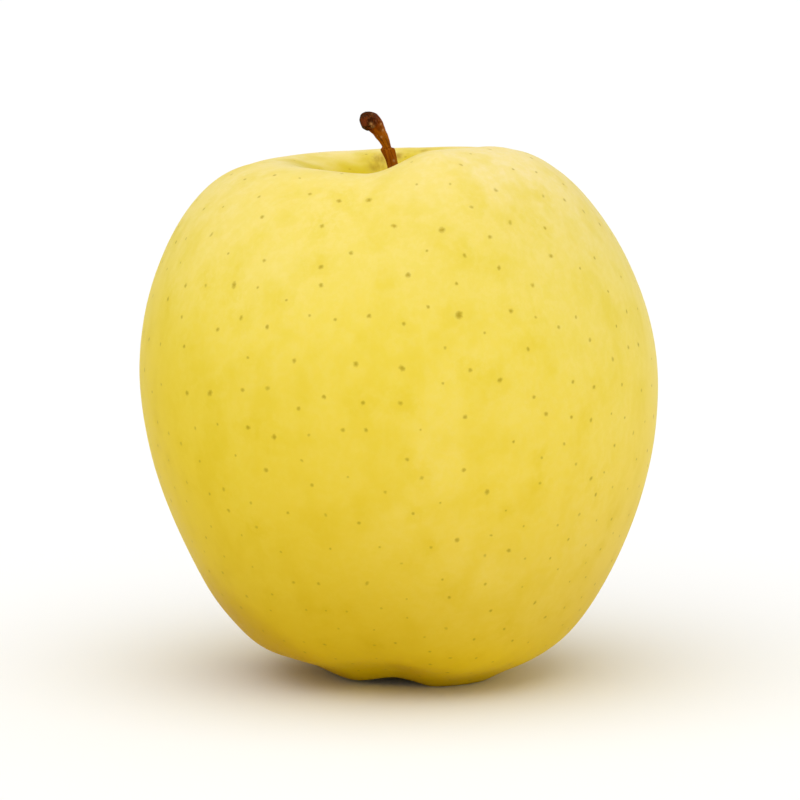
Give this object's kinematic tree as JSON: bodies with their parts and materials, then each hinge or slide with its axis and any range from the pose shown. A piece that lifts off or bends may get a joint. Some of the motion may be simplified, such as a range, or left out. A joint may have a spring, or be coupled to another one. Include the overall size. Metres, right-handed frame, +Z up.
{
  "type": "whole apple",
  "caption": "Whole yellow apple with a curved woody stem in a deep hollow, low ribs, lobed base and dried calyx.",
  "frame": {"origin": "middle of the bounding box in plan, on the surface that the apple stands on", "axes": "+Z up through the stem, -Y towards the side that the picture shows, +X to its right"},
  "size_m": [0.0782, 0.0782, 0.0853],
  "materials": {
    "skin": "smooth waxy yellow skin with fine olive dots and soft mottling",
    "stem": "dry brown woody stem, darker at its knob",
    "calyx": "dry brown papery sepals"
  },
  "bodies": {
    "root": {"apple": "skin", "stem": "stem", "calyx": "calyx"}
  },
  "joints": []
}
